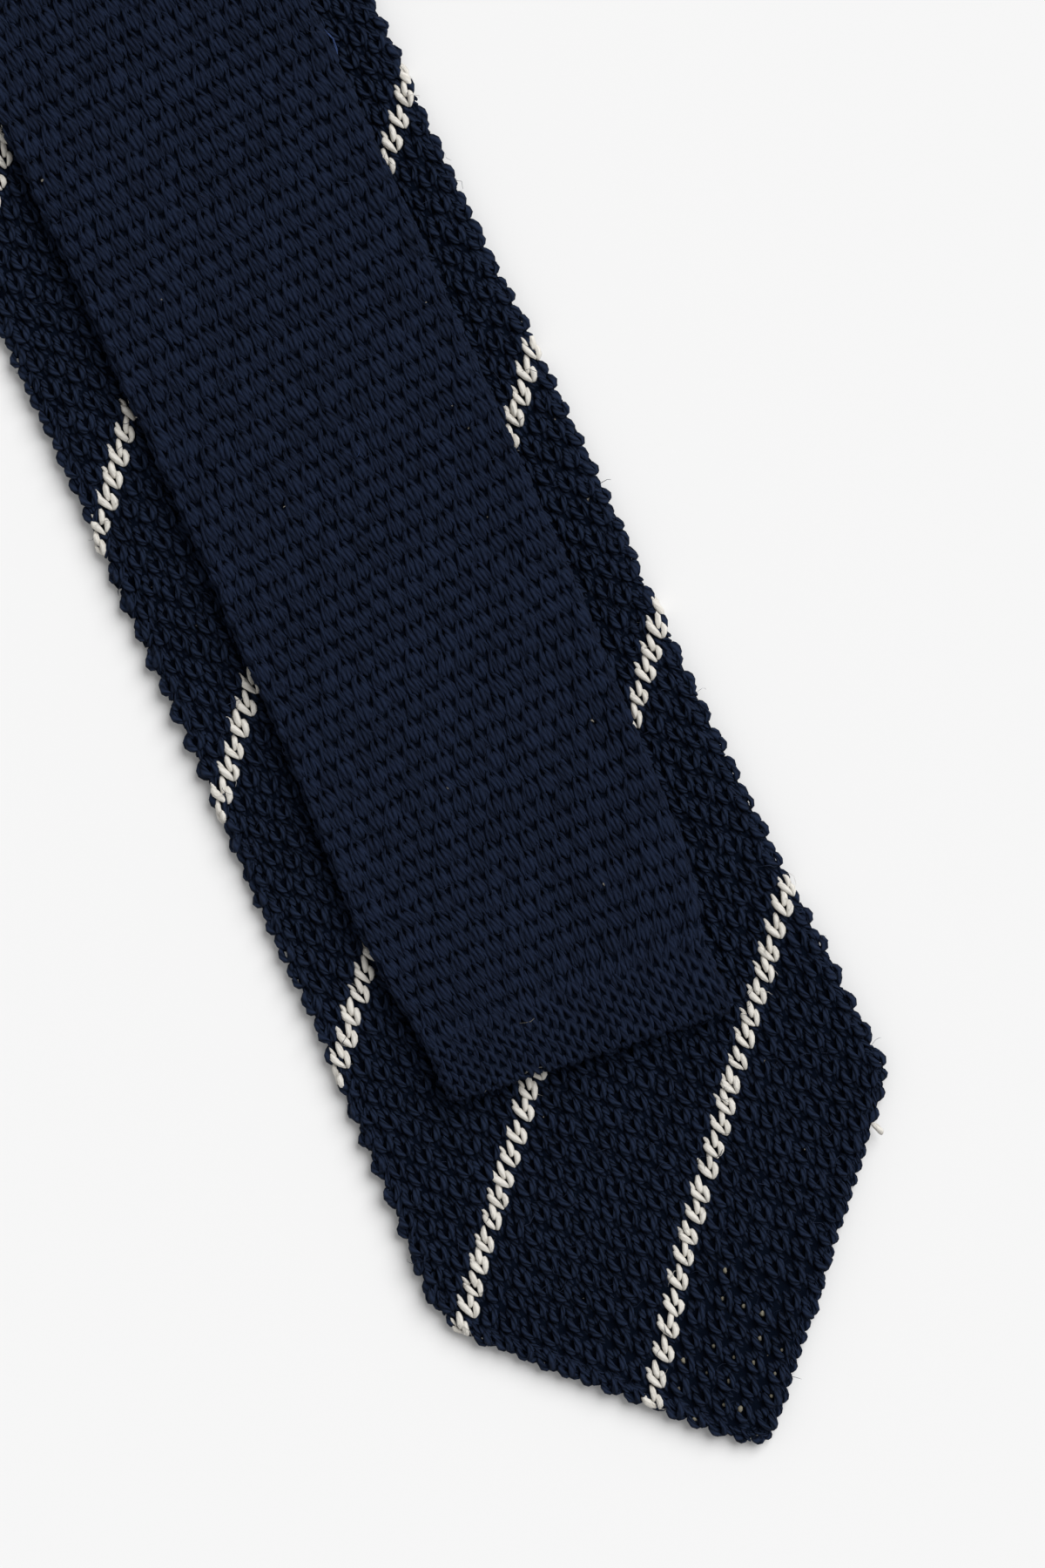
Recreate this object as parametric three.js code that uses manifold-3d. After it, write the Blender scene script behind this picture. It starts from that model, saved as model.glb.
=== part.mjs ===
import * as THREE from "three";
import { mergeVertices } from "three/addons/utils/BufferGeometryUtils.js";
import Module from "manifold-3d";

// A knitted necktie with regimental stripes, folded in half at the neck and laid flat, its
// plain tail on top of its wide striped blade. Millimetres, +Z up, +Y from the blade's point
// to the fold. The origin is under the middle of the folded tie, on the surface it lies on.

const foldedLength = 755; // from the blade's point to the outside of the fold
const gap = 0.3; // between pieces that touch

const bladeWidth = 60; // across the shoulders of the point
const bladeThickness = 2.4; // the blade's tuck knit, pressed flat
const bladeEdgeRound = 1.1; // rounding of the blade's long edges
const pointHeight = 32.6; // from the tip to the right shoulder
const tipShift = -1.4; // sideways, from the blade's middle to its tip
const tipRadius = 3.4;
const shoulderRadius = 10; // of the softer, left shoulder

const stripePitch = 34.4; // from stripe to stripe, along the tie
const stripeAngle = 40.1; // degrees between a stripe and the tie's length
const stripeWidth = 2.3; // one white stitch
const stripeDepth = 0.5; // of the white yarn, on both faces
const firstStripe = 24.7; // from the tip to the first stripe, along the blade's middle

const neckWidth = 38; // blade and tail where they are joined
const seamSetback = 62; // from the outside of the fold to that join
const foldSpace = 2.4; // inside the soft loop at the fold
const foldLoop = 30; // length over which that loop closes
const seamStep = 16; // length over which the tail climbs from the blade to the neck

const tailWidth = 39.4;
const tailThickness = 2.8; // the tail's pique knit, pressed flat
const tailSetback = 49; // from the blade's tip to the middle of the tail's end
const tailShoulder = 24; // length over which the tail narrows to its end
const tailDrift = 1.8; // sideways wander of the tail on the blade
const tailLift = 0.7; // of the tail's end above the blade
const tailLiftLength = 34;

const hemWidth = 31.7; // at the tail's end
const hemHeight = 7.6;
const hemThickness = 2.1; // the hem's close plain knit
const hemSlant = 6.7; // degrees, the tail's end line
const hemRowSlant = 2.8; // degrees, where the hem meets the tail
const slantFade = 60; // length over which the tail's rows turn square

// The two shoulders of the point: width is a share of half the blade, along a share of the
// point's height, and radius a share of the shoulder radius.
const shoulders = [
  { side: -1, width: 1.005, along: 0.865, radius: 1 },
  { side: 1, width: 1.003, along: 1, radius: 0.4 },
];

// The blade's sides: along is a share of the panel's length, and taper runs from the blade's
// width (0) to the neck's (1).
const bladeTaper = [
  { along: 0.09, taper: 0.11 },
  { along: 0.25, taper: 0.2 },
  { along: 0.6, taper: 0.58 },
  { along: 1, taper: 1 },
];

// The tail's end: along is a share of its shoulder, and fullness runs from the hem's width (0)
// to the tail's (1).
const tailNarrowing = [
  { along: 0, fullness: 0 },
  { along: 0.3, fullness: 0.38 },
  { along: 0.45, fullness: 0.6 },
  { along: 0.7, fullness: 0.9 },
  { along: 1, fullness: 1 },
];

// The tail's middle line on the blade: along is a share of the tail's length from its end, and
// drift a share of its wander.
const tailWander = [
  { along: 0, drift: -0.45 },
  { along: 0.03, drift: 0.06 },
  { along: 0.08, drift: 0.79 },
  { along: 0.135, drift: 1 },
  { along: 0.24, drift: 0.8 },
  { along: 0.43, drift: -0.4 },
  { along: 0.7, drift: 0.3 },
  { along: 1, drift: 0 },
];

const edgeSteps = 5; // facets round a tail edge
const foldSteps = 12; // facets round the fold
const tailStep = 11; // length of a facet along the tail

const tipY = -foldedLength / 2;
const foldY = foldedLength / 2;
const seamY = foldY - seamSetback;
const bladePanel = seamY - gap - tipY;
const tailEndY = tipY + tailSetback;
const foldRadius = (foldSpace + tailThickness) / 2;
const foldCentreY = foldY - foldRadius - tailThickness / 2;
const tailLength = foldCentreY - tailEndY;

const wasm = await Module();
wasm.setup();

const materials = {
  blade: new THREE.MeshStandardMaterial({ color: 0x141b2b, roughness: 0.95, metalness: 0 }),
  stripe: new THREE.MeshStandardMaterial({ color: 0xe6e2da, roughness: 0.85, metalness: 0 }),
  tail: new THREE.MeshStandardMaterial({ color: 0x1a2234, roughness: 0.92, metalness: 0 }),
};

// Looks a value up in a table with an along column, easing from row to row.
function fromTable(table, column, along) {
  const last = table.length - 1;
  if (along <= table[0].along) return table[0][column];
  if (along >= table[last].along) return table[last][column];
  const row = table.findIndex((entry) => entry.along > along) - 1;
  const low = table[row];
  const high = table[row + 1];
  const share = THREE.MathUtils.smoothstep(along, low.along, high.along);
  return THREE.MathUtils.lerp(low[column], high[column], share);
}

// An outline through corner points, each rounded by an arc of its own radius.
function roundedOutline(corners) {
  const points = [];
  corners.forEach((corner, index) => {
    if (!corner.radius) {
      points.push(corner.at);
      return;
    }
    const before = corners[(index + corners.length - 1) % corners.length].at;
    const after = corners[(index + 1) % corners.length].at;
    const toBefore = before.clone().sub(corner.at).normalize();
    const toAfter = after.clone().sub(corner.at).normalize();
    const half = Math.acos(THREE.MathUtils.clamp(toBefore.dot(toAfter), -1, 1)) / 2;
    const middle = toBefore.clone().add(toAfter).normalize();
    const centre = corner.at.clone().addScaledVector(middle, corner.radius / Math.sin(half));
    const start = toBefore.clone().multiplyScalar(corner.radius / Math.tan(half)).add(corner.at);
    const from = start.sub(centre);
    const sweep = Math.PI - 2 * half;
    const steps = Math.max(2, Math.ceil(sweep / 0.22));
    for (let step = 0; step <= steps; step += 1) {
      const turned = from.clone().rotateAround(new THREE.Vector2(), (sweep * step) / steps);
      points.push(turned.add(centre));
    }
  });
  return points;
}

// The blade seen from above, anticlockwise from its tip.
function bladeShape() {
  const half = bladeWidth / 2;
  const tipHalfAngle = Math.atan2(half, pointHeight);
  const tipCut = tipRadius * (1 / Math.sin(tipHalfAngle) - 1);
  const corners = [{ at: new THREE.Vector2(tipShift, tipY - tipCut), radius: tipRadius }];
  const side = (sign) => bladeTaper.map((row) => ({
    at: new THREE.Vector2(
      (sign * THREE.MathUtils.lerp(bladeWidth, neckWidth, row.taper)) / 2,
      tipY + row.along * bladePanel,
    ),
  }));
  const shoulder = (row) => ({
    at: new THREE.Vector2(row.side * row.width * half, tipY + row.along * pointHeight),
    radius: row.radius * shoulderRadius,
  });
  corners.push(shoulder(shoulders[1]), ...side(1), ...side(-1).reverse(), shoulder(shoulders[0]));
  return new THREE.Shape(roundedOutline(corners));
}

// The blade as a slab with rounded edges, made smaller all round by an inset.
function bladeSlab(inset, round) {
  const slab = new THREE.ExtrudeGeometry(bladeShape(), {
    depth: bladeThickness - 2 * inset - 2 * round,
    bevelThickness: round,
    bevelSize: round,
    bevelOffset: -round - inset,
    bevelSegments: 3,
    curveSegments: 1,
  });
  slab.translate(0, 0, inset + round);
  return slab;
}

// A bar along one stripe, through the whole thickness of the blade.
function stripeBar(along, width) {
  const slope = THREE.MathUtils.degToRad(stripeAngle);
  const reach = (2.2 * bladeWidth) / Math.sin(slope);
  const bar = new THREE.BoxGeometry(width, reach, bladeThickness * 3);
  bar.rotateZ(-slope);
  bar.translate(0, tipY + along, bladeThickness / 2);
  return bar;
}

function toSolid(geometry) {
  const bare = geometry.clone();
  bare.deleteAttribute("normal");
  bare.deleteAttribute("uv");
  const merged = mergeVertices(bare, 1e-4);
  return new wasm.Manifold(new wasm.Mesh({
    numProp: 3,
    vertProperties: new Float32Array(merged.attributes.position.array),
    triVerts: new Uint32Array(merged.index.array),
  }));
}

function toGeometry(solid) {
  const mesh = solid.getMesh();
  const geometry = new THREE.BufferGeometry();
  geometry.setAttribute("position", new THREE.BufferAttribute(mesh.vertProperties, 3));
  geometry.setIndex(new THREE.BufferAttribute(mesh.triVerts, 1));
  geometry.computeVertexNormals();
  return geometry;
}

function named(name, geometry, material) {
  const mesh = new THREE.Mesh(geometry, material);
  mesh.name = name;
  return mesh;
}

// Where the stripes cross the blade's middle line, as distances from the tip.
function stripePlaces() {
  const rise = bladeWidth / 2 / Math.tan(THREE.MathUtils.degToRad(stripeAngle));
  const places = [];
  for (let along = firstStripe; along < bladePanel - rise; along += stripePitch) {
    places.push(along);
  }
  return places;
}

// The striped blade: each stripe is a band of white yarn that goes round the knit in a channel.
function makeBlade() {
  const group = new THREE.Group();
  const slab = toSolid(bladeSlab(0, bladeEdgeRound));
  const coreRound = (bladeThickness - 2 * (stripeDepth + gap)) / 3;
  const underYarn = toSolid(bladeSlab(stripeDepth, coreRound));
  const underChannel = toSolid(bladeSlab(stripeDepth + gap, coreRound));
  let blade = slab;
  stripePlaces().forEach((along, index) => {
    const yarn = toSolid(stripeBar(along, stripeWidth));
    const channel = toSolid(stripeBar(along, stripeWidth + 2 * gap));
    const band = yarn.intersect(slab).subtract(underYarn);
    blade = blade.subtract(channel.subtract(underChannel));
    const name = `stripe_${String(index + 1).padStart(2, "0")}`;
    group.add(named(name, toGeometry(band), materials.stripe));
  });
  group.add(named("front_blade", toGeometry(blade), materials.blade));
  return group;
}

// A flat tube of knit: one ring of points for each station along it, closed at both ends.
// A station has its middle, the direction of its upper face, its width and its thickness.
function flatTube(stations) {
  const positions = [];
  const indices = [];
  const ringSize = 2 * (edgeSteps + 1);
  stations.forEach((station) => {
    const round = station.thickness / 2;
    for (let point = 0; point < ringSize; point += 1) {
      const right = point <= edgeSteps;
      const turn = ((point % (edgeSteps + 1)) / edgeSteps) * Math.PI;
      const angle = right ? turn - Math.PI / 2 : turn + Math.PI / 2;
      const reach = station.width / 2 - round;
      const across = (right ? reach : -reach) + round * Math.cos(angle);
      const up = round * Math.sin(angle);
      positions.push(
        station.x + across,
        station.y + up * station.up.y - across * (station.slant ?? 0),
        station.z + up * station.up.z,
      );
    }
  });
  const cap = (start, forwards) => {
    for (let point = 1; point < ringSize - 1; point += 1) {
      if (forwards) indices.push(start, start + point, start + point + 1);
      else indices.push(start, start + point + 1, start + point);
    }
  };
  for (let ring = 0; ring < stations.length - 1; ring += 1) {
    for (let point = 0; point < ringSize; point += 1) {
      const here = ring * ringSize + point;
      const next = ring * ringSize + ((point + 1) % ringSize);
      indices.push(here, next, next + ringSize, here, next + ringSize, here + ringSize);
    }
  }
  cap(0, false);
  cap((stations.length - 1) * ringSize, true);
  const geometry = new THREE.BufferGeometry();
  geometry.setAttribute("position", new THREE.Float32BufferAttribute(positions, 3));
  geometry.setIndex(indices);
  geometry.computeVertexNormals();
  return geometry;
}

// The tail's width at a distance from its end.
function tailWidthAt(fromEnd) {
  const fullness = fromTable(tailNarrowing, "fullness", fromEnd / tailShoulder);
  const full = THREE.MathUtils.lerp(tailWidth, neckWidth, fromEnd / tailLength);
  return THREE.MathUtils.lerp(hemWidth, full, fullness);
}

// The height of the tail's middle where it lies on the blade and on the neck.
function tailHeightAt(y) {
  const onBlade = bladeThickness + gap + tailThickness / 2;
  const onNeck = tailThickness + gap + tailThickness / 2;
  const atFold = tailThickness / 2 + 2 * foldRadius;
  const climb = THREE.MathUtils.smoothstep(y, seamY - seamStep, seamY - 2 * gap);
  const swell = THREE.MathUtils.smoothstep(y, foldCentreY - foldLoop, foldCentreY);
  const settled = THREE.MathUtils.smoothstep(y - tailEndY, 0, tailLiftLength);
  const lying = THREE.MathUtils.lerp(onBlade, onNeck, climb);
  return THREE.MathUtils.lerp(lying, atFold, swell) + tailLift * (1 - settled);
}

// The slope of the tail's rows, as the rise over the run, at a distance from its end.
function rowSlopeAt(fromEnd) {
  const end = Math.tan(THREE.MathUtils.degToRad(hemSlant));
  const row = Math.tan(THREE.MathUtils.degToRad(hemRowSlant));
  if (fromEnd < hemHeight) return THREE.MathUtils.lerp(end, row, fromEnd / hemHeight);
  return row * (1 - THREE.MathUtils.smoothstep(fromEnd, hemHeight, slantFade));
}

// A station on the upper layer, with its upper face up.
function lyingStation(fromEnd, thickness) {
  const y = tailEndY + fromEnd;
  return {
    x: tailDrift * fromTable(tailWander, "drift", fromEnd / tailLength),
    y,
    z: tailHeightAt(y),
    up: { y: 0, z: 1 },
    width: tailWidthAt(fromEnd),
    thickness,
    slant: rowSlopeAt(fromEnd),
  };
}

// The plain tail: under the fold from the join, round the fold, and back along the blade.
function makeTail() {
  const stations = [];
  const width = neckWidth;
  const thickness = tailThickness;
  const underSteps = Math.ceil((foldCentreY - seamY) / tailStep);
  for (let step = 0; step < underSteps; step += 1) {
    const y = THREE.MathUtils.lerp(seamY, foldCentreY, step / underSteps);
    stations.push({ x: 0, y, z: thickness / 2, up: { y: 0, z: -1 }, width, thickness });
  }
  for (let step = 0; step < foldSteps; step += 1) {
    const angle = (step / foldSteps) * Math.PI - Math.PI / 2;
    stations.push({
      x: 0,
      y: foldCentreY + foldRadius * Math.cos(angle),
      z: thickness / 2 + foldRadius + foldRadius * Math.sin(angle),
      up: { y: Math.cos(angle), z: Math.sin(angle) },
      width,
      thickness,
    });
  }
  const places = [];
  for (let fromEnd = tailLength; fromEnd > hemHeight + tailShoulder; fromEnd -= tailStep) {
    places.push(fromEnd);
  }
  const endSteps = tailNarrowing.length + 2;
  for (let step = 0; step <= endSteps; step += 1) {
    places.push(THREE.MathUtils.lerp(hemHeight + tailShoulder, hemHeight, step / endSteps));
  }
  places.forEach((fromEnd) => stations.push(lyingStation(fromEnd, tailThickness)));
  return named("tail", flatTube(stations), materials.tail);
}

// The close-knit hem across the tail's end.
function makeHem() {
  const top = hemHeight - gap;
  const rounded = hemThickness / 2;
  const stations = [top, (top + rounded) / 2, rounded]
    .map((fromEnd) => lyingStation(fromEnd, hemThickness));
  stations.push(lyingStation(rounded * 0.3, hemThickness * 0.8));
  stations.push(lyingStation(0, hemThickness * 0.45));
  return named("tail_hem", flatTube(stations), materials.tail);
}

const tie = new THREE.Group();
tie.name = "regimental_stripe_tie";
tie.add(makeBlade(), makeTail(), makeHem());

export default tie;
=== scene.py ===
import math

import bpy
import numpy as np
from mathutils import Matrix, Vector


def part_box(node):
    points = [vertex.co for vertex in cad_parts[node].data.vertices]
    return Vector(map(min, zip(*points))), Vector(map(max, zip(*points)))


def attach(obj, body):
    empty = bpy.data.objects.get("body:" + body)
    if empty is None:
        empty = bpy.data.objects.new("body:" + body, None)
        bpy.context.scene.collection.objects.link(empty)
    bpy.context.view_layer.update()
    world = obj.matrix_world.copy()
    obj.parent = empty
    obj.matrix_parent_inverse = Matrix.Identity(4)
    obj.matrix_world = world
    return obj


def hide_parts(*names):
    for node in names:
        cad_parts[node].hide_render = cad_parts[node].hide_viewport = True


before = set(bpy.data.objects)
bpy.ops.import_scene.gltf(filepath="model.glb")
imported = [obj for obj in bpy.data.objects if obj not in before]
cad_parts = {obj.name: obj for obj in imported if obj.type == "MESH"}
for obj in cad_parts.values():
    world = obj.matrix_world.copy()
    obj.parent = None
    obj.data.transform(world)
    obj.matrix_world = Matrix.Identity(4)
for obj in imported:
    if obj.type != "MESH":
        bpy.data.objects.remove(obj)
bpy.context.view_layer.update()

# A knitted necktie folded in half and laid flat. Its wide blade is a tuck knit with slanting
# stripes of white yarn, and its narrow tail a small pique knit that ends in a close hem.
# A stitch is a few short strands of yarn. Each kind is drawn a few times and copied over the cloth.
# Plans are in millimetres, in the frame of the CAD, and the meshes are written in metres.

mm = 0.001
chance = np.random.default_rng(52)

bladeNodes = ["front_blade"] + sorted(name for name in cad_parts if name.startswith("stripe_"))
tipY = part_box("front_blade")[0].y / mm
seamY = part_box("front_blade")[1].y / mm
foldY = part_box("tail")[1].y / mm


# Edges of CAD nodes as two rows of end points.
def nodeEdges(names):
    starts, ends = [], []
    for name in names:
        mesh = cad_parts[name].data
        corners = np.empty(len(mesh.vertices) * 3, np.float32)
        pairs = np.empty(len(mesh.edges) * 2, np.int32)
        mesh.vertices.foreach_get("co", corners)
        mesh.edges.foreach_get("vertices", pairs)
        corners = corners.reshape(-1, 3) / mm
        starts.append(corners[pairs[0::2]])
        ends.append(corners[pairs[1::2]])
    return np.concatenate(starts), np.concatenate(ends)


# Left side, right side and top where the edges cross each y.
def crossings(edges, ys):
    starts, ends = edges
    found = []
    for y in ys:
        low, high = starts[:, 1] - y, ends[:, 1] - y
        cut = low * high < 0
        share = (low[cut] / (low[cut] - high[cut]))[:, None]
        points = starts[cut] + (ends[cut] - starts[cut]) * share
        found.append((points[:, 0].min(), points[:, 0].max(), points[:, 2].max()))
    return np.array(found).T


# A share from 0 to 1 that starts and ends gently.
def eased(share):
    share = np.clip(share, 0, 1)
    return share * share * (3 - 2 * share)


# The blade's outline, and how it is read from the CAD.
bladeShape = {
    "thickness": 2.4,
    "edgeRadius": 1.2,
    "tipHeights": [0.03, 0.12, 0.3, 0.6, 1.0, 1.5, 2.2, 3.0, 4.0, 5.0],  # above the tip, where it is read
    "pointStep": 1.0,  # from height to height after those, on the point
    "pointTop": 60.0,
    "longStep": 4.0,  # above the point
    "seamGap": 1.0,  # left free below the neck seam
    "besideStripe": 0.6,  # past the gap beside a stripe's yarn
}
middle = bladeShape["thickness"] / 2


# The blade's outline from its left neck corner round the tip to its right one.
def bladeOutline():
    tipHeights, pointTop = bladeShape["tipHeights"], bladeShape["pointTop"]
    ys = tipY + np.concatenate([
        tipHeights,
        np.arange(tipHeights[-1] + bladeShape["pointStep"], pointTop, bladeShape["pointStep"]),
        np.arange(pointTop, seamY - tipY - bladeShape["seamGap"], bladeShape["longStep"]),
    ])
    edges = nodeEdges(bladeNodes)
    reach = bladeShape["besideStripe"]
    left, right = crossings(edges, ys)[:2]
    below = crossings(edges, np.maximum(ys - reach, tipY + tipHeights[0]))
    beside = (below + crossings(edges, ys + reach)) / 2
    later = ys > tipY + tipHeights[-1]
    left[later] = np.minimum(left, beside[0])[later]
    right[later] = np.maximum(right, beside[1])[later]
    leftSide = np.stack([left, ys], 1)[::-1]
    rightSide = np.stack([right, ys], 1)
    return np.concatenate([leftSide, rightSide]), ys, left, right


outline, outlineY, outlineLeft, outlineRight = bladeOutline()
steps = np.diff(outline, axis=0)
stepLengths = np.hypot(steps[:, 0], steps[:, 1])
outlineLength = np.concatenate([[0], np.cumsum(stepLengths)])
tipIndex = len(outlineY)  # of the outline's point at the tip
tipLength = outlineLength[tipIndex]
directions = steps / stepLengths[:, None]
directions = np.concatenate([directions, directions[-1:]])
outwards = np.stack([directions[:, 1], -directions[:, 0]], 1)

nearness = {
    "within": 5.0,  # points this near an edge are measured, and the others are put far inside
    "far": 99.0,
    "band": 10,  # height of the bands whose points are measured together
    "overlap": 6,
    "batch": 4000,
    "onLine": 0.02,  # nearer the line than this, the way out is square to it
}


# How far points of the plan are inside the outline, the nearest place on it, and the way out.
def nearOutline(plan):
    inset = np.full(len(plan), nearness["far"])
    foot = plan.copy()
    out = np.zeros_like(plan)
    left = np.interp(plan[:, 1], outlineY, outlineLeft)
    right = np.interp(plan[:, 1], outlineY, outlineRight)
    depth = np.minimum(plan[:, 0] - left, right - plan[:, 0])
    close = depth < nearness["within"]
    bands = np.floor(plan[:, 1] / nearness["band"]).astype(int)
    stepTop = np.maximum(outline[:-1, 1], outline[1:, 1])
    stepBottom = np.minimum(outline[:-1, 1], outline[1:, 1])
    for band in np.unique(bands[close]):
        rows = np.flatnonzero(close & (bands == band))
        low = band * nearness["band"] - nearness["overlap"]
        high = (band + 1) * nearness["band"] + nearness["overlap"]
        parts = np.flatnonzero((stepTop > low) & (stepBottom < high))
        if not len(parts):
            parts = np.array([0, len(steps) - 1])
        for some in np.array_split(rows, max(1, len(rows) // nearness["batch"])):
            away = plan[some][:, None] - outline[parts][None]
            share = (away * steps[parts]).sum(2) / (stepLengths[parts] ** 2)
            share = np.clip(share, 0, 1)
            gaps = away - steps[parts][None] * share[:, :, None]
            distance = np.hypot(gaps[:, :, 0], gaps[:, :, 1])
            best = distance.argmin(1)
            pick = np.arange(len(some))
            nearest, gap = distance[pick, best], gaps[pick, best]
            foot[some] = plan[some] - gap
            sign = np.where(depth[some] > 0, -1.0, 1.0)
            unit = gap / np.maximum(nearest, 1e-6)[:, None] * sign[:, None]
            square = outwards[parts[best]]
            out[some] = np.where((nearest > nearness["onLine"])[:, None], unit, square)
            inset[some] = nearest * -sign
    return inset, foot, out


edgeBend = {
    "pace": 0.75,  # share of an edge's radius over which knit turns by one radian
    "most": 3.0,  # radians
}


# How far knit has turned round an edge of this radius, from nothing where the flat ends.
def turned(radius, inset):
    return np.clip((radius - inset) / (radius * edgeBend["pace"]), 0, edgeBend["most"])


# Points of the blade's knit, flat in plan and high above the cloth, bent round the blade's edge.
# Here and on the tail, top is the height in the knit that comes to the cloth's face.
def onBlade(points, top, face=1):
    radius = bladeShape["edgeRadius"]
    plan = points[:, :2].copy()
    reach = middle - top + points[:, 2]
    inset, foot, out = nearOutline(plan)
    turn = turned(radius, inset)
    bent = foot - out * (radius - reach * np.sin(turn))[:, None]
    plan = np.where((turn > 0)[:, None], bent, plan)
    height = middle + face * reach * np.cos(turn)
    return np.column_stack([plan, height])


# Points along the blade's outline: outwards, along it, and above the middle of the cloth, where
# their height top comes.
def alongOutline(points, top):
    place = points[:, 1]
    out = np.stack([np.interp(place, outlineLength, outwards[:, axis]) for axis in (0, 1)], 1)
    out /= np.hypot(out[:, 0], out[:, 1])[:, None]
    on = np.stack([np.interp(place, outlineLength, outline[:, axis]) for axis in (0, 1)], 1)
    return np.column_stack([on + out * points[:, :1], middle + points[:, 2] - top])


# Points measured across, up from the blade's tip and above the floor.
def asLaid(points, top):
    return points + [0, tipY, -top]


# The tail's shape, from its end up the blade, round the fold and under it.
tailShape = {
    "setback": 49.0,  # from the blade's tip to the middle of the tail's end
    "thickness": 2.8,
    "halfWidth": 19.7,
    "hemThickness": 2.1,
    "hemHeight": 7.6,
    "hemSlant": 6.7,  # degrees, the tail's end line
    "hemRowSlant": 2.8,  # degrees, where the hem meets the tail
    "slantTo": 60.0,  # from the end, where that slant is gone
    "rowRise": 4.0,  # degrees that the tail's rows rise to the right
    "rowRiseOver": 42.0,  # length over which they come to it
    "hemUnder": 130.0,  # degrees that the hem's knit turns under the end
    "hemStops": 9,
    "hemLevelFrom": 4.0,  # from the end, where it lies level
    "hemJoint": 0.2,  # below the hem's top
    "firstStop": 12.0,  # from the end, where the tail's own cloth is first read
    "stopStep": 3.0,
    "lastGap": 2.0,  # short of the fold
    "lastStop": 0.4,
    "loopHeight": 4.0,  # of the middle of the fold's loop, and its distance from the fold's outside
    "loopRadius": 2.6,  # to the middle of the cloth
    "loopStops": 16,
    "loopStretch": 0.6,  # share of half the cloth that is added to the loop's length
    "seamSetback": 62.0,  # from the outside of the fold to the neck seam
}
tailEndY = tipY + tailShape["setback"]
loopY = foldY - tailShape["loopHeight"]
lyingLength = loopY - tailEndY


# The tail's slant, as a fall to the right over the run.
def tailSlant(along):
    endFall, seamFall = (math.tan(math.radians(tailShape[key])) for key in ("hemSlant", "hemRowSlant"))
    hemHeight = tailShape["hemHeight"]
    pastHem = seamFall * (1 - eased((along - hemHeight) / (tailShape["slantTo"] - hemHeight)))
    onHem = endFall + (seamFall - endFall) * np.clip(along / hemHeight, -1, 1)
    return np.where(along < hemHeight, onHem, pastHem)


# The same for its rows of stitches.
def rowSlant(along):
    share = np.clip((along - tailShape["hemHeight"]) / tailShape["rowRiseOver"], 0, 1)
    rise = math.tan(math.radians(tailShape["rowRise"]))
    return tailSlant(along) * (1 - share) - rise * eased(share)


# The tail's way: by the distance from its end, its middle, the lean of its outer face, half its
# thickness, half its width and its place across.
def tailWay():
    hemLow, hemHigh = (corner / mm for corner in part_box("tail_hem"))
    hemHalf, tailHalf = tailShape["hemThickness"] / 2, tailShape["thickness"] / 2
    hemZ = hemHigh.z - hemHalf
    hemSides = (hemHalf, (hemHigh.x - hemLow.x) / 2, (hemHigh.x + hemLow.x) / 2)
    lying = math.pi / 2
    stops = []
    for turn in np.linspace(math.radians(tailShape["hemUnder"]), 0, tailShape["hemStops"]):
        along = hemHalf - turn * hemHalf * edgeBend["pace"]
        stops.append((along, tailEndY + hemHalf, hemZ, lying + turn, *hemSides))
    for along in (tailShape["hemLevelFrom"], tailShape["hemHeight"] - tailShape["hemJoint"]):
        stops.append((along, tailEndY + along, hemZ, lying, *hemSides))
    alongs = np.arange(tailShape["firstStop"], lyingLength - tailShape["lastGap"], tailShape["stopStep"])
    alongs = np.append(alongs, lyingLength - tailShape["lastStop"])
    sides = crossings(nodeEdges(["tail", "tail_hem"]), tailEndY + alongs)
    for along, left, right, top in zip(alongs, *sides):
        wide = (right - left) / 2
        stops.append((along, tailEndY + along, top - tailHalf, lying, tailHalf, wide, (right + left) / 2))
    radius = tailShape["loopRadius"]
    for turn in np.linspace(0, math.pi, tailShape["loopStops"]):
        along = lyingLength + turn * (radius + tailHalf * tailShape["loopStretch"])
        z = tailShape["loopHeight"] + radius * math.cos(turn)
        stops.append((along, loopY + radius * math.sin(turn), z, lying - turn, tailHalf, wide, 0.0))
    along += tailShape["seamSetback"] - tailShape["loopHeight"]
    stops.append((along, foldY - tailShape["seamSetback"], tailHalf, -lying, tailHalf, wide, 0.0))
    return dict(zip(("along", "y", "z", "lean", "half", "wide", "x"), np.array(stops).T))


way = tailWay()
tailLength = way["along"][-1]


def onWay(along, *parts):
    return [np.interp(along, way["along"], way[part]) for part in parts]


# Points of the tail's knit, across and along it and above its cloth, laid on its way.
def onTail(points, top):
    across, along, above = points.T
    along = along - across * (rowSlant(along) - tailSlant(along))
    midX, midY, midZ, lean, half, wide = onWay(along, "x", "y", "z", "lean", "half", "wide")
    side = np.sign(across)
    out = np.abs(across) * wide / tailShape["halfWidth"]
    reach = half - top + above
    turn = turned(half, wide - out)
    level = np.where(turn > 0, wide - half + reach * np.sin(turn), out)
    up = reach * np.cos(turn)
    return np.column_stack([
        midX + side * level,
        midY + up * np.cos(lean) - side * level * tailSlant(along),
        midZ + up * np.sin(lean),
    ])


print("frame read")

# Stitches. Each strand has a start, an end and a bow at its middle, in millimetres across, along
# and up. Thick is its diameter, taper says how much thinner its end is, and a higher blunt gives
# fuller ends. Sides and rings say how finely it is drawn.
strandShape = {"blunt": 3.0, "endCurve": 0.45, "endGirth": 0.42}


# A strand's radius at a share of its length.
def girth(strand, share):
    body = (1 - abs(2 * share - 1) ** strand.get("blunt", strandShape["blunt"])) ** strandShape["endCurve"]
    return strand["thick"] / 2 * max(body, strandShape["endGirth"]) * (1 - strand.get("taper", 0) * share)


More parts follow.
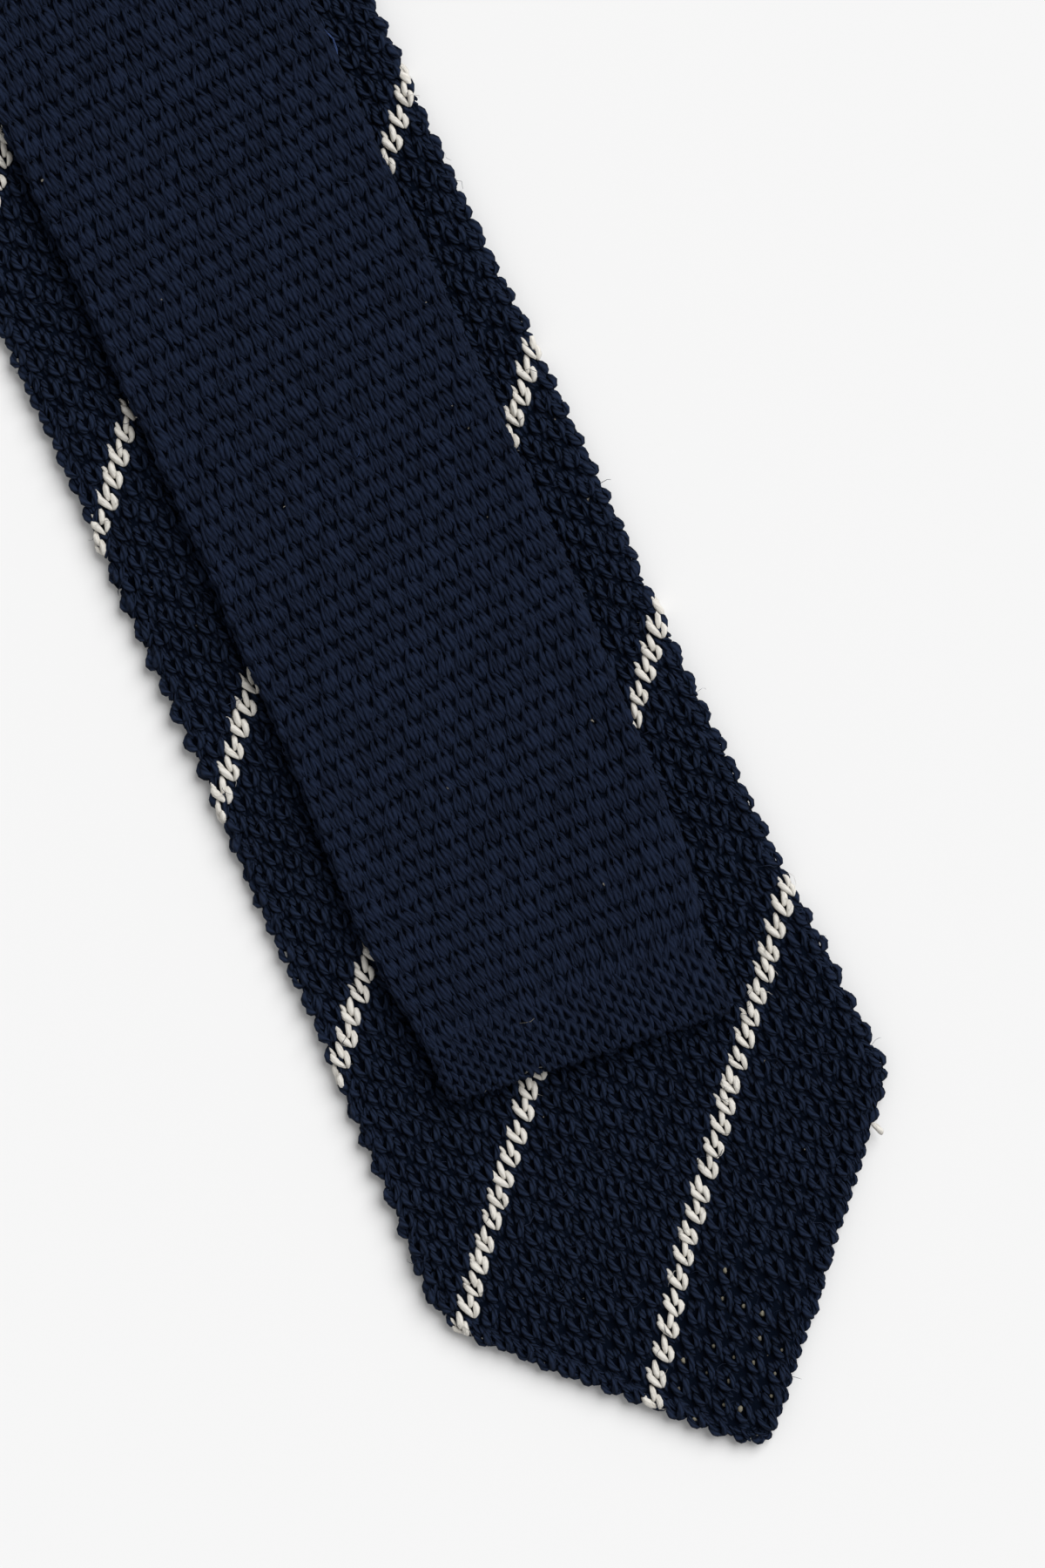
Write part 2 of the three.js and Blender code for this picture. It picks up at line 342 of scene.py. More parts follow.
# One strand, drawn as a soft roll: a small ring drawn out from its start to its end. Its corners
# keep their way round the yarn and their distance along it, which the material reads.
def drawStrand(strand, sides, rings):
    start, end, bow = (Vector(strand[key]) for key in ("start", "end", "bow"))
    shares = [(1 - math.cos(math.pi * ring / (rings - 1))) / 2 for ring in range(rings)]
    spots = [start.lerp(end, share) + bow * (4 * share * (1 - share)) for share in shares]
    girths = [girth(strand, share) for share in shares]
    facing = (end - start).to_track_quat("Z", "Y")
    bpy.ops.object.select_all(action="DESELECT")
    bpy.ops.mesh.primitive_circle_add(vertices=sides, radius=girths[0], fill_type="NGON",
                                      location=spots[0], rotation=facing.to_euler())
    yarn = bpy.context.object
    bpy.ops.object.mode_set(mode="EDIT")
    bpy.ops.mesh.select_all(action="SELECT")
    for ring in range(1, rings):
        bpy.ops.mesh.extrude_region_move(TRANSFORM_OT_translate={"value": spots[ring] - spots[ring - 1]})
        bpy.ops.transform.resize(value=[girths[ring] / girths[ring - 1]] * 3, center_override=spots[ring])
    bpy.ops.mesh.select_all(action="SELECT")
    bpy.ops.mesh.normals_make_consistent(inside=False)
    bpy.ops.object.mode_set(mode="OBJECT")
    bpy.ops.object.transform_apply(location=True, rotation=True, scale=True)
    axes = [facing @ Vector(axis) for axis in ((1, 0, 0), (0, 1, 0), (0, 0, 1))]
    rolled = yarn.data.attributes.new("yarn", "FLOAT_VECTOR", "POINT")
    for vertex, value in zip(yarn.data.vertices, rolled.data):
        along = (vertex.co - start).dot(axes[2])
        nearest = min(spots, key=lambda spot: abs((spot - start).dot(axes[2]) - along))
        x, y = ((vertex.co - nearest).dot(axis) for axis in axes[:2])
        radius = max(math.hypot(x, y), 1e-6)
        value.vector = (x / radius, y / radius, along)
    return yarn


# A stitch as flat lists: its corners, its yarn directions and its faces.
def drawStitch(strands, sides, rings, mirror=False):
    drawn = [drawStrand(strand, strand.get("sides", sides), strand.get("rings", rings)) for strand in strands]
    bpy.ops.object.select_all(action="DESELECT")
    for yarn in drawn:
        yarn.select_set(True)
    bpy.context.view_layer.objects.active = drawn[0]
    if len(drawn) > 1:
        bpy.ops.object.join()
    mesh = bpy.context.object.data
    corners = np.empty(len(mesh.vertices) * 3)
    yarns = np.empty(len(mesh.vertices) * 3)
    faces = [list(face.vertices) for face in mesh.polygons]
    mesh.vertices.foreach_get("co", corners)
    mesh.attributes["yarn"].data.foreach_get("vector", yarns)
    bpy.data.objects.remove(bpy.context.object)
    corners, yarns = corners.reshape(-1, 3), yarns.reshape(-1, 3)
    if mirror:  # along the tie
        corners[:, 1] *= -1
        yarns[:, 1] *= -1
        faces = [face[::-1] for face in faces]
    sizes = np.array([len(face) for face in faces])
    starts = np.cumsum(sizes) - sizes
    return {"corners": corners, "yarns": yarns, "loops": np.concatenate(faces), "starts": starts}


# Each strand on both sides of its stitch.
def paired(strands):
    both = []
    for strand in strands:
        for side in (-1, 1):
            other = dict(strand)
            for key in ("start", "end", "bow"):
                x, y, z = strand[key]
                other[key] = (side * x, y, z)
            both.append(other)
    return both


handwork = {
    "upShare": 0.6,  # strands stray less in height than across and along
    "thick": 0.08,
    "tone": 0.2,
    "noise": 0.012,  # of each corner
    "yarnStart": 4.0,  # a copy starts anywhere in this length of its yarn
    "ripples": ((4.1, 0.7), (5.7, 2.1), (9.3, 4.0)),  # length and shift of the rows' slow waves
    "paintedShadeLevel": 0.25,  # painted shade: yarn lower in the knit than this is darker, and painted light: higher yarn paler
    "deepest": 0.6,
}


# The same stitch drawn a few times, no two quite alike.
def variants(strands, sides, rings, count, change=0.07, **options):
    made = []
    for _ in range(count):
        some = []
        for strand in strands:
            other = dict(strand)
            for key in ("start", "end", "bow"):
                other[key] = tuple(
                    value + chance.normal(0, change * (handwork["upShare"] if axis == 2 else 1))
                    for axis, value in enumerate(strand[key]))
            other["thick"] = strand["thick"] * (1 + chance.normal(0, handwork["thick"]))
            some.append(other)
        made.append(drawStitch(some, sides, rings, **options))
    return made


# Where a stitch goes: places in plan, and small changes of turn, size and height by chance.
def places(at, turn=3.5, size=0.04, lift=0.04, jitter=0.05):
    count = len(at)
    return {
        "at": np.asarray(at, float) + chance.normal(0, jitter, (count, 2)),
        "turn": np.radians(chance.normal(0, turn, count)),
        "size": 1 + chance.normal(0, size, count),
        "lift": chance.normal(0, lift, count),
        "tone": np.clip(0.5 + chance.normal(0, handwork["tone"], count), 0, 1),
    }


def chosen(spots, mask):
    return {key: value[mask] for key, value in spots.items()}


# Places dealt out among the variants of a stitch.
def dealt(stitches, spots):
    hand = chance.integers(0, len(stitches), len(spots["at"]))
    return [(stitch, chosen(spots, hand == turn)) for turn, stitch in enumerate(stitches)]


# One drawing of a stitch at all its places: corners, yarn directions and tones. A tone is the stitch's own
# tone by chance plus painted shade by height: yarn low in the knit darker, high yarn paler.
def copied(stitch, spots):
    cos, sin = (part(spots["turn"])[:, None] for part in (np.cos, np.sin))
    x, y, z = (stitch["corners"][:, axis][None] * spots["size"][:, None] for axis in (0, 1, 2))
    corners = np.stack([
        spots["at"][:, :1] + x * cos - y * sin,
        spots["at"][:, 1:] + x * sin + y * cos,
        z + spots["lift"][:, None],
    ], 2)
    yarns = np.repeat(stitch["yarns"][None], len(corners), 0)
    yarns[:, :, 2] += chance.uniform(0, handwork["yarnStart"], (len(corners), 1))
    # Painted shade and light: lower yarn gets a darker tone, higher yarn a paler one.
    height = np.clip(z - handwork["paintedShadeLevel"], -handwork["deepest"], handwork["deepest"])
    return corners.reshape(-1, 3), yarns.reshape(-1, 3), (spots["tone"][:, None] + height).ravel()


# The rows' slow waves, and a little roughness.
def rippled(flat, wave):
    for length, shift in handwork["ripples"]:
        phase = flat[:, :2] * (2 * math.pi / length)
        flat[:, 0] += wave * np.sin(phase[:, 1] + 0.4 * phase[:, 0] + shift)
        flat[:, 1] += wave * np.sin(phase[:, 0] - 0.3 * phase[:, 1] + 2 * shift)
    return flat + chance.normal(0, handwork["noise"], flat.shape)


# Copies of stitches over the cloth as one joined mesh.
def knit(name, sets, onto, top, material, wave=0.06, **options):
    corners, yarns, tonesAndShade, loops, starts = [], [], [], [], []
    firstCorner = firstLoop = 0
    for stitch, spots in sets:
        count, size = len(spots["at"]), len(stitch["corners"])
        if not count:
            continue
        for kept, part in zip((corners, yarns, tonesAndShade), copied(stitch, spots)):
            kept.append(part)
        each = np.arange(count)[:, None]
        loops.append((stitch["loops"][None] + each * size).ravel() + firstCorner)
        starts.append((stitch["starts"][None] + each * len(stitch["loops"])).ravel() + firstLoop)
        firstCorner += count * size
        firstLoop += count * len(stitch["loops"])
    made = onto(rippled(np.concatenate(corners), wave), top, **options) * mm
    loops, starts = np.concatenate(loops), np.concatenate(starts)
    mesh = bpy.data.meshes.new(name)
    mesh.vertices.add(len(made))
    mesh.vertices.foreach_set("co", made.ravel())
    mesh.loops.add(len(loops))
    mesh.loops.foreach_set("vertex_index", loops)
    mesh.polygons.add(len(starts))
    mesh.polygons.foreach_set("loop_start", starts)
    mesh.update(calc_edges=True)
    rolled = mesh.attributes.new("yarn", "FLOAT_VECTOR", "POINT")
    rolled.data.foreach_set("vector", np.concatenate(yarns).ravel())
    # The tone attribute: each stitch's tone by chance, plus painted shade by height in the knit.
    tone = mesh.attributes.new("tone", "FLOAT", "POINT")
    tone.data.foreach_set("value", np.concatenate(tonesAndShade))
    mesh.shade_smooth()
    mesh.materials.append(material)
    piece = bpy.data.objects.new(name, mesh)
    bpy.context.scene.collection.objects.link(piece)
    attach(piece, "root")
    print(f"{name}: {len(loops) - 2 * len(starts)} triangles")
    return piece


# An sRGB hex value as linear red, green, blue and alpha.
def linear(hexColour):
    parts = [int(hexColour[at:at + 2], 16) / 255 for at in (0, 2, 4)]
    return [part / 12.92 if part <= 0.04045 else ((part + 0.055) / 1.055) ** 2.4 for part in parts] + [1]


# A node with its settings, and with its inputs linked or set.
def addNode(tree, kind, settings=None, links=None):
    node = tree.nodes.new(kind)
    for key, value in (settings or {}).items():
        setattr(node, key, value)
    for key, value in (links or {}).items():
        if isinstance(value, bpy.types.NodeSocket):
            tree.links.new(value, node.inputs[key])
        else:
            node.inputs[key].default_value = value
    return node


# Spun yarn: plies twisted together, with fine fibres over them. The colour is darker in the grooves
# between the plies, a painted shade, and follows the tone attribute with its painted shade by height.
# Twist, fibre, patch and bumpDepth are in millimetres: one ply's turn, a fibre's width, a paler
# stretch of yarn and the relief.
def yarnMaterial(name, look):
    material = bpy.data.materials.new(name)
    material.use_nodes = True
    tree = material.node_tree
    tree.nodes.clear()
    fine = {"Detail": 3.0, "Roughness": 0.6}
    place = addNode(tree, "ShaderNodeTexCoord").outputs["Object"]
    yarn = addNode(tree, "ShaderNodeAttribute", {"attribute_name": "yarn"}).outputs["Vector"]
    tone = addNode(tree, "ShaderNodeAttribute", {"attribute_name": "tone"}).outputs["Fac"]
    split = addNode(tree, "ShaderNodeSeparateXYZ", links={0: yarn})
    angle = addNode(tree, "ShaderNodeMath", {"operation": "ARCTAN2"},
                    {0: split.outputs["Y"], 1: split.outputs["X"]})
    plies = addNode(tree, "ShaderNodeMath", {"operation": "MULTIPLY"},
                    {0: angle.outputs[0], 1: look["plies"] / 2})
    phase = addNode(tree, "ShaderNodeMath", {"operation": "MULTIPLY_ADD"},
                    {0: split.outputs["Z"], 1: math.pi / look["twist"], 2: plies.outputs[0]})
    wave = addNode(tree, "ShaderNodeMath", {"operation": "SINE"}, {0: phase.outputs[0]})
    ply = addNode(tree, "ShaderNodeMath", {"operation": "ABSOLUTE"}, {0: wave.outputs[0]})
    stretch = addNode(tree, "ShaderNodeMapping", {"vector_type": "POINT"},
                      {"Vector": yarn, "Scale": (1.0, 1.0, look["streakLength"])})
    streak = addNode(tree, "ShaderNodeTexNoise", links={
        "Vector": stretch.outputs[0], "Scale": look["streaks"], **fine})
    fibre = addNode(tree, "ShaderNodeTexNoise", links={
        "Vector": place, "Scale": 1 / (look["fibre"] * mm), **fine})
    patch = addNode(tree, "ShaderNodeTexNoise", links={
        "Vector": place, "Scale": 1 / (look["patch"] * mm), "Detail": 2.0, "Roughness": 0.5})
    # Painted shade: the colour darkens in the grooves between plies; patches are paler by chance.
    mixed = addNode(tree, "ShaderNodeMath", {"operation": "MULTIPLY_ADD"},
                    {0: ply.outputs[0], 1: look["plyShade"], 2: patch.outputs["Fac"]})
    toneAndShade = addNode(tree, "ShaderNodeMath", {"operation": "MULTIPLY_ADD"},
                    {0: tone, 1: look["stitchTone"], 2: mixed.outputs[0]})
    shade = addNode(tree, "ShaderNodeMapRange", links={
        "Value": toneAndShade.outputs[0], "From Min": look["darkAt"], "From Max": look["lightAt"]})
    colour = addNode(tree, "ShaderNodeMix", {"data_type": "RGBA"},
                     {0: shade.outputs[0], 6: linear(look["dark"]), 7: linear(look["light"])})
    rough = addNode(tree, "ShaderNodeMapRange", links={
        "Value": fibre.outputs["Fac"], "From Min": 0.3, "From Max": 0.7,
        "To Min": look["rough"][0], "To Max": look["rough"][1]})
    height = addNode(tree, "ShaderNodeMath", {"operation": "MULTIPLY_ADD"},
                     {0: streak.outputs["Fac"], 1: look["streakShare"], 2: fibre.outputs["Fac"]})
    twisted = addNode(tree, "ShaderNodeMath", {"operation": "MULTIPLY_ADD"},
                      {0: ply.outputs[0], 1: look["plyShare"], 2: height.outputs[0]})
    bump = addNode(tree, "ShaderNodeBump", links={
        "Height": twisted.outputs[0], "Strength": 1.0, "Distance": look["bumpDepth"] * mm})
    shader = addNode(tree, "ShaderNodeBsdfPrincipled", links={
        "Base Color": colour.outputs[2], "Roughness": rough.outputs[0], "Normal": bump.outputs[0],
        "Sheen Weight": look["sheen"], "Sheen Roughness": 0.5, "Sheen Tint": linear(look["light"]),
        "Specular IOR Level": look["specular"]})
    addNode(tree, "ShaderNodeOutputMaterial", links={"Surface": shader.outputs[0]})
    return material


navyWool = {"dark": "0C121D", "light": "222D44", "plies": 3.0, "twist": 1.7, "plyShare": 2.6,
            "streaks": 3.0, "streakLength": 0.35, "streakShare": 1.2, "fibre": 0.09, "patch": 1.6,
            "plyShade": 1.0, "stitchTone": 0.4, "darkAt": 0.35, "lightAt": 1.7, "rough": (0.78, 0.92),
            "bumpDepth": 0.2, "sheen": 0.0, "specular": 0.08}
tailWool = dict(navyWool, dark="090E19", light="1D273D", twist=2.2, plyShare=1.6, plyShade=0.8, bumpDepth=0.13)
whiteWool = {"dark": "B9B2A6", "light": "F3EFE7", "plies": 3.0, "twist": 3.6, "plyShare": 0.6,
             "streaks": 4.0, "streakLength": 0.3, "streakShare": 1.6, "fibre": 0.07, "patch": 1.2,
             "plyShade": 0.5, "stitchTone": 0.3, "darkAt": 0.1, "lightAt": 1.1, "rough": (0.76, 0.90),
             "bumpDepth": 0.1, "sheen": 0.05, "specular": 0.2}

# Dry merino in thick plies: matt, with small paler ribs of yarn and painted shade, near black, between them.
bladeYarn = yarnMaterial("navy merino tuck knit", navyWool)
# The same wool with a longer twist, knitted flatter: smoother and more even to the eye.
tailYarn = yarnMaterial("navy merino pique knit", tailWool)
# Undyed wool, long in its twist: a warm white, with a painted shade of soft grey where its strands turn
# down and between its plies.
stripeYarn = yarnMaterial("off-white merino stripe", whiteWool)
# Loops inside the knit, where hardly any light comes: painted shade, darker than the wool above them,
# and without shine.
innerYarn = yarnMaterial("navy merino inner loops",
                         dict(navyWool, dark="0C121E", light="151E2E", specular=0.0))
# Single fibres stand up and catch the light: a painted highlight makes them paler than the knit.
hairYarn = yarnMaterial("navy merino fibre", dict(navyWool, dark="1C2438", light="39435C", plyShare=0.0))
# Sewing thread, of a brighter blue than the wool.
blueThread = yarnMaterial("blue sewing thread", dict(navyWool, dark="25335A", light="4A5F92", plyShare=1.0))
# Dust in the wool: dull grey specks.
lintYarn = yarnMaterial("pale lint", dict(whiteWool, dark="6A665F", light="958F84"))
# Light that comes through a small hole in the knit: a dim, warm grey.
holeLight = yarnMaterial("light through the knit",
                         dict(whiteWool, dark="6B675B", light="8F8A7A", plyShare=0.0))

# Cloth under the stitches, a little smaller than the outline.
groundShape = {
    "bladeInset": 0.85, "bladeThick": 0.7, "bladeColumns": 14,
    "bladeLift": 0.05,  # above the middle of the blade
    "bladeLeast": 0.05,  # half its width at the tip
    "tipRows": [1.3, 1.8, 2.6, 4, 6, 8],  # above the tip
    "rowStep": 3.0,
    "tailInset": 0.55, "tailThick": 1.15, "tailColumns": 12,
    "tailFirst": 0.8,  # from the tail's end
    "loopFrom": -1.0, "loopTo": 14.0, "loopStep": 0.8,  # closer rows round the fold
    "loopGap": 1.0,
}


# A grid laid out across and along, drawn into shape and thickened to a closed sheet.
def cloth(name, across, rows, form, thickness):
    bpy.ops.object.select_all(action="DESELECT")
    bpy.ops.mesh.primitive_grid_add(x_subdivisions=across, y_subdivisions=len(rows) - 1, size=2)
    piece = bpy.context.object
    piece.name = piece.data.name = name
    corners = np.empty(len(piece.data.vertices) * 3)
    piece.data.vertices.foreach_get("co", corners)
    corners = corners.reshape(-1, 3)
    share = (corners[:, 1] + 1) / 2 * (len(rows) - 1)
    along = np.interp(share, np.arange(len(rows)), rows)
    shaped = form(corners[:, 0], along)
    piece.data.vertices.foreach_set("co", (shaped * mm).ravel())
    piece.data.update()
    wall = piece.modifiers.new("wall", "SOLIDIFY")
    wall.thickness = thickness * mm
    wall.offset = 0
    bpy.ops.object.modifier_apply(modifier="wall")
    bpy.ops.object.mode_set(mode="EDIT")
    bpy.ops.mesh.select_all(action="SELECT")
    bpy.ops.mesh.normals_make_consistent(inside=False)
    bpy.ops.object.mode_set(mode="OBJECT")
    # The inner loops' wool: painted shade, darker than the stitches over it.
    piece.data.materials.append(innerYarn)
    piece.data.shade_smooth()
    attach(piece, "root")
    return piece


def bladeGround(share, ys):
    left = np.interp(ys, outlineY, outlineLeft) + groundShape["bladeInset"]
    right = np.interp(ys, outlineY, outlineRight) - groundShape["bladeInset"]
    centre = (left + right) / 2
    left = np.minimum(left, centre - groundShape["bladeLeast"])
    right = np.maximum(right, centre + groundShape["bladeLeast"])
    x = left + (right - left) * (share + 1) / 2
    return np.column_stack([x, ys, np.full(len(ys), middle + groundShape["bladeLift"])])


def tailGround(share, along):
    midX, midY, midZ, wide = onWay(along, "x", "y", "z", "wide")
    level = share * (wide - groundShape["tailInset"])
    return np.column_stack([midX + level, midY - level * tailSlant(along), midZ])


rowStep, loopGap = groundShape["rowStep"], groundShape["loopGap"]
loopFrom, loopTo = lyingLength + groundShape["loopFrom"], lyingLength + groundShape["loopTo"]
bladeClothRows = np.concatenate([
    tipY + np.array(groundShape["tipRows"][:-1]),
    np.arange(tipY + groundShape["tipRows"][-1], seamY - bladeShape["seamGap"], rowStep),
])
tailClothRows = np.concatenate([
    [groundShape["tailFirst"]],
    np.arange(rowStep, loopFrom - loopGap, rowStep),
    np.arange(loopFrom, loopTo, groundShape["loopStep"]),
    np.arange(loopTo + loopGap, tailLength, rowStep),
])
bladeCloth = cloth("blade_cloth", groundShape["bladeColumns"], bladeClothRows, bladeGround,
                   groundShape["bladeThick"])
tailCloth = cloth("tail_cloth", groundShape["tailColumns"], tailClothRows, tailGround,
                  groundShape["tailThick"])
print("cloth laid")

# The blade's stitches stand on a slanting lattice, in which one line of stitches in nine is white.
bladeKnit = {
    "whiteTip": (0.9, 24.5),  # of one white stitch, across and up from the tie's tip
    "alongStripe": (-1.71, -1.99),  # to the next stitch of its stripe
    "acrossStripe": (1.85, -1.669),  # to the stitch beside it
    "perStripe": 9,
    "counts": (-250, 50),  # each way from that stitch, more than the blade holds
    "halfReach": 34.0,
    "belowTip": 4.0,
    "seamGap": 1.5,  # left free below the neck seam
    "top": 0.75,
    "leanFrom": 30.0,  # from the tip: the rows lean and rise a little more past here
    "leanTo": 130.0,
    "rise": -0.8,
    "lean": 0.065,
    "sagFrom": 22.0,  # nearer the tip than this they sag towards it
    "sag": 0.16,
    "middle": 0.6,  # of a stitch, above its place in the lattice
    "pointTop": 62.0,
    "closeTop": 195.0,  # nearer the tip than this, stitches are drawn in full
    "tipRadius": 4.5,  # this near the tip they keep tipInset inside the outline
    "tipInset": 0.9,
    "whiteOut": 0.9,  # past the outline, for the last stitches of a stripe
    "underInset": 0.3,  # for the back, and for navy yarn under the white
    "navyUnderTail": 2.5,  # how far stitches go on under the tail's edge
    "whiteUnderTail": 0.9,
    "tailEndFall": 0.12,  # of the tail's end line over its run
}
navyStitch = [
    {"start": (0.76, 1.64, 0.22), "end": (0.14, -0.18, 0.44), "bow": (0.16, -0.14, 0.34), "thick": 0.84,
     "blunt": 3.6},
    {"start": (0.46, 2.58, -0.22), "end": (0.26, 1.26, -0.02), "bow": (0.12, 0.0, 0.14), "thick": 0.86,
     "sides": 5, "rings": 4},
    {"start": (0.56, 0.38, -0.30), "end": (0.32, -1.14, -0.28), "bow": (0.12, 0.0, 0.10), "thick": 0.88,
     "sides": 5, "rings": 4},
    {"start": (1.04, 1.04, -0.34), "end": (0.92, -0.86, -0.34), "bow": (-0.12, 0.0, 0.02), "thick": 0.84,
     "sides": 4, "rings": 3},
]
navyFarStitch = [navyStitch[0], dict(navyStitch[1], sides=3, rings=3)]
whiteStitch = [
    {"start": (-0.94, 2.16, 0.18), "end": (0.02, -0.10, 0.26), "bow": (-0.06, -0.05, 0.26), "thick": 1.06,
     "taper": 0.38, "blunt": 2.4},
    {"start": (0.76, 1.64, 0.16), "end": (0.16, -0.10, 0.30), "bow": (0.14, -0.10, 0.24), "thick": 0.96,
     "taper": 0.34, "blunt": 2.4},
    {"start": (0.66, 3.10, -0.02), "end": (0.14, 1.02, 0.26), "bow": (0.05, 0.0, 0.26), "thick": 0.80,
     "blunt": 2.4},
    {"start": (-0.76, 2.90, 0.0), "end": (-0.40, 1.60, 0.20), "bow": (0.02, 0.0, 0.12), "thick": 0.50,
     "blunt": 2.4},
]
backStitch = [
    {"start": (-0.5, -0.8, 0.1), "end": (0.5, 1.9, 0.25), "bow": (0.1, 0.0, 0.15), "thick": 1.3},
]


# The lattice of the blade's stitches, and which of them are white.
def bladeLattice():
    count = np.arange(*bladeKnit["counts"])
    i, j = (grid.ravel() for grid in np.meshgrid(count, count))
    x, up = (bladeKnit["whiteTip"][axis] + i * bladeKnit["alongStripe"][axis]
             + j * bladeKnit["acrossStripe"][axis] for axis in (0, 1))
    share = (up - bladeKnit["leanFrom"]) / (bladeKnit["leanTo"] - bladeKnit["leanFrom"])
    up = up + eased(share) * (bladeKnit["rise"] + bladeKnit["lean"] * x)
    up = up - bladeKnit["sag"] * np.maximum(0, bladeKnit["sagFrom"] - up)
    plan = np.stack([x, up + tipY], 1)
    held = (np.abs(x) < bladeKnit["halfReach"]) & (up > -bladeKnit["belowTip"])
    held &= plan[:, 1] < seamY - bladeKnit["seamGap"]
    return plan[held], (j % bladeKnit["perStripe"] == 0)[held]


# Places that the tail hides, further than a margin inside its edges.
def underTail(plan, margin):
    along = plan[:, 1] - tailEndY
    wide, midX = onWay(along, "wide", "x")
    pastEnd = along > margin + 1 - plan[:, 0] * bladeKnit["tailEndFall"]
    return pastEnd & (np.abs(plan[:, 0] - midX) < wide - margin)


bladeSpots, white = bladeLattice()
bladeMiddles = bladeSpots + [0, bladeKnit["middle"]]
inset = nearOutline(bladeMiddles)[0]
seen = ~underTail(bladeMiddles, bladeKnit["navyUnderTail"])
height = bladeSpots[:, 1] - tipY
close = height < bladeKnit["closeTop"]
point = height < bladeKnit["pointTop"]
covered = inset > bladeKnit["underInset"]
fromTip = np.hypot(*(bladeMiddles - outline[tipIndex]).T)
plain = seen & ~white & (inset > np.where(fromTip < bladeKnit["tipRadius"], bladeKnit["tipInset"], 0.0))
striped = white & ~underTail(bladeMiddles, bladeKnit["whiteUnderTail"]) & (inset > -bladeKnit["whiteOut"])

navyClose = variants(paired(navyStitch), sides=6, rings=5, count=6, change=0.035)
navyUnder = variants(paired(navyStitch[2:]), sides=4, rings=3, count=2)
navyFar = variants(paired(navyFarStitch), sides=3, rings=3, count=3)
whiteClose = variants(whiteStitch, sides=7, rings=6, count=5, change=0.06)
whiteFar = variants(whiteStitch[:3], sides=5, rings=4, count=2)
backNavy = variants(backStitch, sides=3, rings=3, count=3)

bladeTop = bladeKnit["top"]
spots = places(bladeSpots[plain & point])
knit("blade_stitches_point", dealt(navyClose, spots), onBlade, bladeTop, bladeYarn)
knit("blade_stitches_close", [
    *dealt(navyClose, places(bladeSpots[plain & close & ~point])),
    *dealt(navyUnder, places(bladeSpots[seen & white & close & covered])),
], onBlade, bladeTop, bladeYarn)
knit("blade_stitches_far", dealt(navyFar, places(bladeSpots[plain & ~close])), onBlade, bladeTop, bladeYarn)
stripes = knit("stripe_stitches", [
    *dealt(whiteClose, places(bladeSpots[striped & close], turn=3.0, size=0.03)),
    *dealt(whiteFar, places(bladeSpots[striped & ~close], turn=3.0, size=0.03)),
], onBlade, bladeTop, stripeYarn, wave=0.04)
for name, spots, material in (("blade_stitches_back", bladeSpots[covered & ~white], bladeYarn),
                              ("stripe_stitches_back", bladeSpots[covered & white], stripeYarn)):
    knit(name, dealt(backNavy, places(spots)), onBlade, bladeTop, material, face=-1)

# Stitches along the blade's edges, finer on the point. For the right side, 1, and the left, -1, each
# zone says up to what height above the tip it goes, then its stitches' pitch, size and way out.
edgeKnit = {
    "zones": {
        1: [(26, 1.75, 0.70, -0.44), (58, 2.6, 0.88, -0.60), (1000, 3.62, 1.0, -0.60)],
        -1: [(33, 2.6, 0.88, -0.60), (1000, 3.62, 1.0, -0.60)],
    },
    "first": 0.6,  # along the outline from the tip
    "last": 3.0,  # short of its end
}
edgeStitch = [
    {"start": (-0.36, 1.30, 0.05), "end": (-0.32, -1.00, 0.0), "bow": (0.38, 0.0, 0.05), "thick": 1.24,
     "rings": 6},
    {"start": (-1.35, 0.30, 0.62), "end": (-0.12, -1.75, 0.25), "bow": (0.12, -0.02, 0.22), "thick": 0.70},
    {"start": (-1.15, -1.00, 0.55), "end": (-0.34, -2.30, 0.36), "bow": (0.04, 0.0, 0.10), "thick": 0.58},
    {"start": (-1.35, 1.60, 0.30), "end": (-0.95, 0.00, 0.45), "bow": (0.05, 0.0, 0.12), "thick": 0.66,
     "rings": 4},
    {"start": (-1.80, 1.00, 0.35), "end": (-1.45, -0.90, 0.35), "bow": (0.05, 0.0, 0.12), "thick": 0.66,
     "rings": 4},
]


# The stitches of one edge, from the tip on, and which of them are drawn in full.
def edgePlaces(side):
    half = outline[tipIndex:] if side > 0 else outline[:tipIndex][::-1]
    length = np.concatenate([[0], np.cumsum(np.hypot(*np.diff(half, axis=0).T))])
    spots, place = [], edgeKnit["first"]
    while place < outlineLength[-1] - tipLength - edgeKnit["last"]:
        up = np.interp(place, length, half[:, 1]) - tipY
        pitch, size, out = next(zone[1:] for zone in edgeKnit["zones"][side] if up < zone[0])
        spots.append((out, place, size))
        place += pitch
    spots = np.array(spots)
    made = places(spots[:, :2], turn=3, lift=0.03, jitter=0.04)
    made["size"] *= spots[:, 2]
    made["at"][:, 1] = tipLength + side * made["at"][:, 1]
    return made, spots[:, 1] < bladeKnit["closeTop"]


edgeSets = []
for side in (1, -1):
    spots, near = edgePlaces(side)
    drawn = variants(edgeStitch, sides=6, rings=5, count=4, mirror=side < 0)
    edgeSets += dealt(drawn, chosen(spots, near))
    drawn = variants(edgeStitch[:3], sides=5, rings=3, count=2, mirror=side < 0)
    edgeSets += dealt(drawn, chosen(spots, ~near))
knit("blade_edge_stitches", edgeSets, alongOutline, 0, bladeYarn, wave=0.03)
print("blade knitted")

